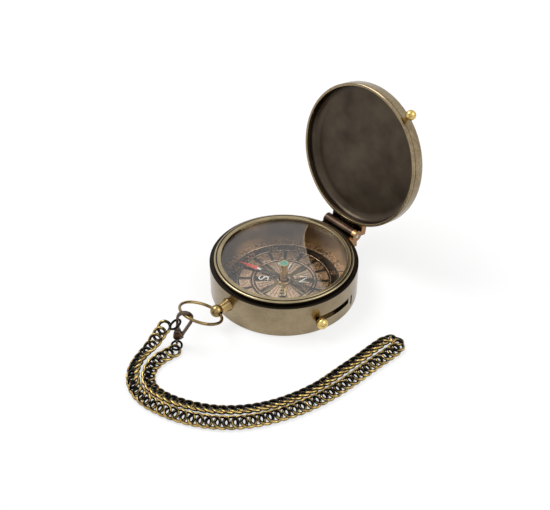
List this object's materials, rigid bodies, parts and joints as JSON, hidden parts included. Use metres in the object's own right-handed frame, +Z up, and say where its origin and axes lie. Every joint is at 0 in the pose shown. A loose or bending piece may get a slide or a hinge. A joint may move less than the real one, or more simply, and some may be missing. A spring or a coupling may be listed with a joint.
{
  "type": "pocket compass",
  "caption": "Brass pocket compass with a hinged lid, glazed relief dial, locking needle, bow ring, lobster clasp and chain.",
  "frame": {"origin": "centre of the flat bottom of the case", "axes": "+Z up through the needle pivot, +Y towards the lid hinge, -Y towards the bow ring"},
  "size_m": [0.0944, 0.1416, 0.0804],
  "materials": {
    "case_brass": "brushed, aged",
    "bezel_brass": "turned, polished",
    "lid_brass": "satin, dark patina",
    "bright_brass": "polished",
    "dark_brass": "dark patina",
    "inner_brass": "satin",
    "copper_relief": "stamped relief",
    "clasp_metal": "antiqued copper plate",
    "chain_metal": "antiqued, rubbed bright",
    "steel": "ground",
    "glass": "polished",
    "gasket": "matt",
    "red_paint": "gloss",
    "white_metal": "polished",
    "blackened": "satin",
    "jewel": "polished",
    "green_enamel": "gloss"
  },
  "bodies": {
    "case": {"case_body": "case_brass", "movement_ring": "inner_brass", "glass_gasket": "gasket", "glass_window": "glass", "bezel_ring": "bezel_brass", "dial_plate": "copper_relief", "scale_ring": "copper_relief", "dial_feet": "inner_brass", "dial_screws": "steel", "pivot_post": "inner_brass", "pivot_pin": "steel", "case_hinge_leaf": "dark_brass", "hinge_pin": "steel", "bow_post": "bright_brass", "bow_post_nut": "inner_brass", "chain": "chain_metal"},
    "lid": {"lid_shell": "lid_brass", "lid_liner": "lid_brass", "lid_hinge_leaf": "dark_brass", "lid_knob": "bright_brass", "lid_knob_stud": "bright_brass"},
    "lock": {"lock_shoe": "inner_brass", "lock_stem": "bright_brass", "lock_knob": "bright_brass"},
    "lifter": {"needle_lifter": "inner_brass"},
    "needle": {"needle_arrow": "red_paint", "needle_band": "white_metal", "needle_shaft": "blackened", "needle_cap": "bright_brass", "cap_jewel": "jewel", "cap_inlay": "green_enamel"},
    "bow": {"bow_ring": "dark_brass", "clasp_body": "clasp_metal", "clasp_gate_pin": "steel", "clasp_jump_ring": "chain_metal", "chain_end_ring": "chain_metal"},
    "gate": {"clasp_gate": "clasp_metal"}
  },
  "joints": [
    {"name": "lid_hinge", "type": "hinge", "parent": "case", "child": "lid", "pos_m": [0, 0.0353, 0.0147], "axis": [-1, 0, 0], "range_deg": [-100, 0]},
    {"name": "lock_slide", "type": "hinge", "parent": "case", "child": "lock", "pos_m": [0, 0, 0.0067], "axis": [0, 0, 1], "range_deg": [0, 29]},
    {"name": "needle_lift", "type": "slide", "parent": "case", "child": "lifter", "axis": [0, 0, 1], "range_m": [0, 0.0008]},
    {"name": "needle_spin", "type": "hinge", "parent": "lifter", "child": "needle", "pos_m": [0, 0, 0.004], "axis": [0, 0, 1], "continuous": true},
    {"name": "bow_swing", "type": "hinge", "parent": "case", "child": "bow", "pos_m": [0, -0.0379, 0.0084], "axis": [-1, 0, 0], "range_deg": [0, 75]},
    {"name": "clasp_gate_hinge", "type": "hinge", "parent": "bow", "child": "gate", "pos_m": [-0.00134, -0.0557, 0.00461], "axis": [0.7408, -0.6717, 0], "range_deg": [0, 18]}
  ],
  "couplings": [
    {"joint": "needle_lift", "follows": "lock_slide", "m_per_rad": 0.0015806}
  ]
}
